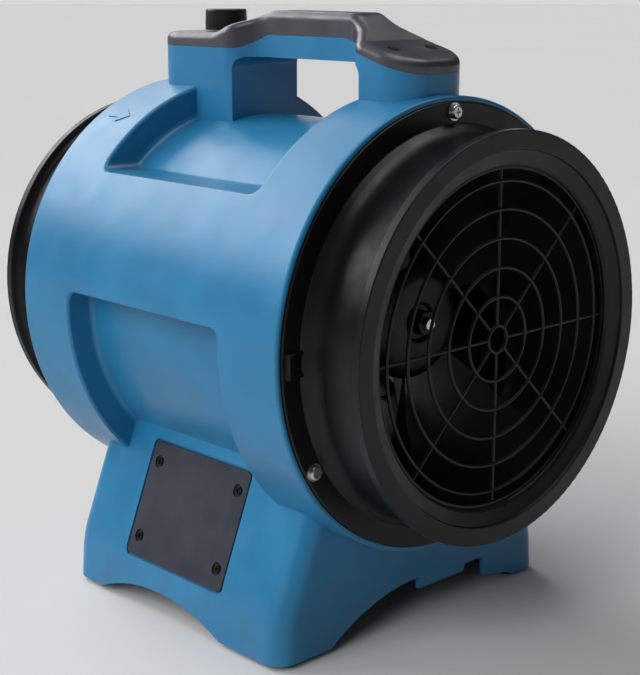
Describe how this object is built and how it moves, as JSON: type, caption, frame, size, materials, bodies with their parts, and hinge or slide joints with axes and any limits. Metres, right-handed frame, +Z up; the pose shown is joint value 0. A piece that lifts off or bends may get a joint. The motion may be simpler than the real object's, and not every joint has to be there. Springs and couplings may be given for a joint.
{
  "type": "axial air mover",
  "caption": "Portable ducted axial blower with a round barrel, arched base, duct collars with ring grilles, carrying handle and speed knob.",
  "frame": {"origin": "on the floor under the middle of the barrel", "axes": "+Z up; the fan axis along Y, outlet towards -Y, inlet towards +Y; +X to the right seen from the outlet end"},
  "size_m": [0.345, 0.427, 0.4725],
  "materials": {
    "housing_blue": "satin moulded",
    "black_plastic": "satin black moulded",
    "grip_black": "soft satin moulded",
    "cover_grey": "fine texture",
    "knob_black": "moulded",
    "rubber": "matte",
    "stainless": "turned",
    "black_steel": "black oxide",
    "galvanised": "zinc plated",
    "duct_grey": "smooth",
    "motor_paint": "satin paint",
    "cast_alloy": "as cast",
    "core_steel": "laminated",
    "copper": "enamelled wire",
    "bearing_steel": "ground",
    "brass": "knurled",
    "capacitor_can": "smooth",
    "terminal_plastic": "smooth"
  },
  "bodies": {
    "housing": {"housing_left": "housing_blue", "housing_right": "housing_blue", "housing_screws": "galvanised", "handle_cover": "grip_black", "handle_cover_screws": "black_steel", "speed_control_body": "terminal_plastic", "speed_control_nut": "galvanised", "outlet_collar": "black_plastic", "inlet_collar": "black_plastic", "outlet_grille": "black_plastic", "inlet_grille": "black_plastic", "outlet_collar_screws": "stainless", "inlet_collar_screws": "stainless", "outlet_collar_washers": "stainless", "inlet_collar_washers": "stainless", "outlet_inserts": "brass", "inlet_inserts": "brass", "side_cover_left": "cover_grey", "side_cover_right": "cover_grey", "side_cover_left_screws": "black_steel", "side_cover_right_screws": "black_steel", "fan_shroud": "duct_grey", "motor_bracket": "black_steel", "motor_bracket_bolts": "black_steel", "motor_casing": "motor_paint", "motor_front_cap": "cast_alloy", "motor_rear_cap": "cast_alloy", "motor_tie_bolts": "galvanised", "front_bearing": "bearing_steel", "rear_bearing": "bearing_steel", "stator_core": "core_steel", "stator_band": "core_steel", "stator_windings": "copper", "rubber_feet": "rubber", "foot_screws": "galvanised", "base_pan": "duct_grey", "base_pan_screws": "galvanised", "terminal_box": "terminal_plastic", "terminal_box_lid": "terminal_plastic", "run_capacitor": "capacitor_can", "capacitor_clip": "galvanised", "cord_gland": "black_plastic"},
    "rotor": {"rotor_core": "core_steel", "motor_shaft": "bearing_steel", "impeller": "black_plastic", "impeller_washer": "black_steel", "impeller_nut": "black_steel"},
    "knob": {"speed_knob": "knob_black", "knob_shaft": "stainless"}
  },
  "joints": [
    {"name": "fan_spin", "type": "hinge", "parent": "housing", "child": "rotor", "pos_m": [0, 0, 0.242], "axis": [0, 1, 0], "continuous": true},
    {"name": "knob_turn", "type": "hinge", "parent": "housing", "child": "knob", "pos_m": [0, 0.0985, 0.455], "axis": [0, 0, 1], "range_deg": [-300, 0]}
  ]
}
